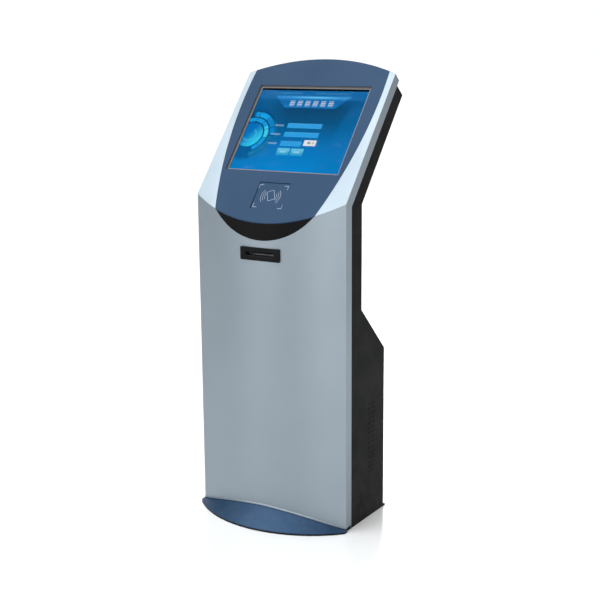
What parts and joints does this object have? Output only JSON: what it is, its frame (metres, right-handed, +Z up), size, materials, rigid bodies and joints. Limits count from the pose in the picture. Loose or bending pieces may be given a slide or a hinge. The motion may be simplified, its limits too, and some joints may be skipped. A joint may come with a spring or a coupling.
{
  "type": "ticket vending machine",
  "caption": "Free-standing ticket kiosk: bowed front panel, leaning head with touch display and card reader, ticket slot, rear service door and foot plate.",
  "frame": {"origin": "centre of the four floor anchor holes, on the underside of the base plate", "axes": "+X to the right seen from the front, +Y from the front to the back, +Z up; the screen faces -Y"},
  "size_m": [0.506, 0.4571, 1.3351],
  "materials": {
    "silver_paint": "satin silver powder coat",
    "blue_paint": "satin slate-blue paint",
    "black_powder": "fine-textured black powder coat",
    "black_gloss": "semi-gloss black acrylic",
    "black_plastic": "moulded black plastic",
    "grey_frame": "grey painted steel",
    "glass": "clear touch glass",
    "lcd": "lit display",
    "zinc": "zinc-plated sheet",
    "steel": "bright steel",
    "motor_steel": "drawn steel can",
    "chrome": "polished chrome",
    "black_screw": "black oxide",
    "aluminium": "extruded heat sink",
    "brass": "turned brass",
    "rubber": "ground platen rubber",
    "grey_plastic": "moulded grey plastic",
    "white_plastic": "natural acetal",
    "red_plastic": "red rocker",
    "dark_case": "black painted steel",
    "card": "cardboard tube",
    "paper": "white thermal paper"
  },
  "bodies": {
    "cabinet": {"base_bolts": "steel", "base_plate": "black_powder", "bracket_screws": "steel", "cable_gland": "black_plastic", "card_reader": "black_plastic", "chin_insert": "black_gloss", "computer_case": "dark_case", "computer_shelf": "zinc", "counter_blade": "steel", "cover_pin": "steel", "cover_screws": "black_screw", "display_bracket_left": "zinc", "display_bracket_right": "zinc", "display_chassis": "zinc", "fan_frame": "black_plastic", "fan_screws": "steel", "fascia": "blue_paint", "fascia_nuts": "steel", "front_panel": "silver_paint", "head_cover": "black_powder", "head_frame": "black_powder", "hinge_leaves_frame": "steel", "hinge_pins": "steel", "lcd_panel": "lcd", "neck_panel": "black_powder", "power_inlet": "black_plastic", "power_supply": "zinc", "printer_chassis": "zinc", "printer_motor": "motor_steel", "printer_shelf": "zinc", "rear_sill": "black_powder", "roll_bracket": "zinc", "roll_spindle": "grey_plastic", "screen_surround": "grey_frame", "side_panel_left": "black_powder", "side_panel_right": "black_powder", "switch_frame": "black_plastic", "ticket_bezel": "black_plastic", "toe_cover": "blue_paint", "touch_glass": "glass", "wing_left": "silver_paint", "wing_right": "silver_paint"},
    "door": {"rear_door": "black_powder", "hinge_leaves_door": "steel", "lock_body": "chrome"},
    "lock_rotor": {"lock_plug": "chrome", "lock_cam": "steel"},
    "printer_lid": {"printer_cover": "grey_plastic", "print_head": "aluminium"},
    "paper": {"paper_roll": "paper", "roll_core": "card"},
    "platen": {"platen_roller": "rubber", "platen_shaft": "steel", "platen_gear": "white_plastic"},
    "pinion": {"motor_pinion": "brass"},
    "cutter": {"cutter_blade": "steel"},
    "fan": {"fan_rotor": "black_plastic"},
    "rocker": {"rocker_switch": "red_plastic"},
    "button": {"power_button": "grey_plastic"}
  },
  "joints": [
    {"name": "door_hinge", "type": "hinge", "parent": "cabinet", "child": "door", "pos_m": [-0.22755, 0.176, 0.275], "axis": [0, 0, 1], "range_deg": [0, 110]},
    {"name": "lock_turn", "type": "hinge", "parent": "door", "child": "lock_rotor", "pos_m": [0.1998, 0.165, 0.275], "axis": [0, -1, 0], "range_deg": [0, 90]},
    {"name": "printer_lid_hinge", "type": "hinge", "parent": "cabinet", "child": "printer_lid", "pos_m": [0, -0.016, 0.826], "axis": [-1, 0, 0], "range_deg": [0, 60]},
    {"name": "paper_spin", "type": "hinge", "parent": "cabinet", "child": "paper", "pos_m": [0, -0.04, 0.7], "axis": [1, 0, 0], "continuous": true},
    {"name": "platen_spin", "type": "hinge", "parent": "cabinet", "child": "platen", "pos_m": [0, -0.06, 0.794], "axis": [1, 0, 0], "continuous": true},
    {"name": "pinion_spin", "type": "hinge", "parent": "cabinet", "child": "pinion", "pos_m": [0, -0.04568, 0.77968], "axis": [1, 0, 0], "continuous": true},
    {"name": "cutter_slide", "type": "slide", "parent": "cabinet", "child": "cutter", "axis": [0, 0, -1], "range_m": [0, 0.008]},
    {"name": "fan_spin", "type": "hinge", "parent": "cabinet", "child": "fan", "pos_m": [0.23, 0.092, 0.245], "axis": [1, 0, 0], "continuous": true},
    {"name": "rocker_tilt", "type": "hinge", "parent": "cabinet", "child": "rocker", "pos_m": [-0.07, 0.169, 0.036], "axis": [-1, 0, 0], "range_deg": [0, 16]},
    {"name": "button_press", "type": "slide", "parent": "cabinet", "child": "button", "axis": [0, -1, 0], "range_m": [0, 0.0015], "stiffness_N_per_m": 500}
  ],
  "couplings": [
    {"joint": "pinion_spin", "follows": "platen_spin", "ratio": -2.3333}
  ]
}
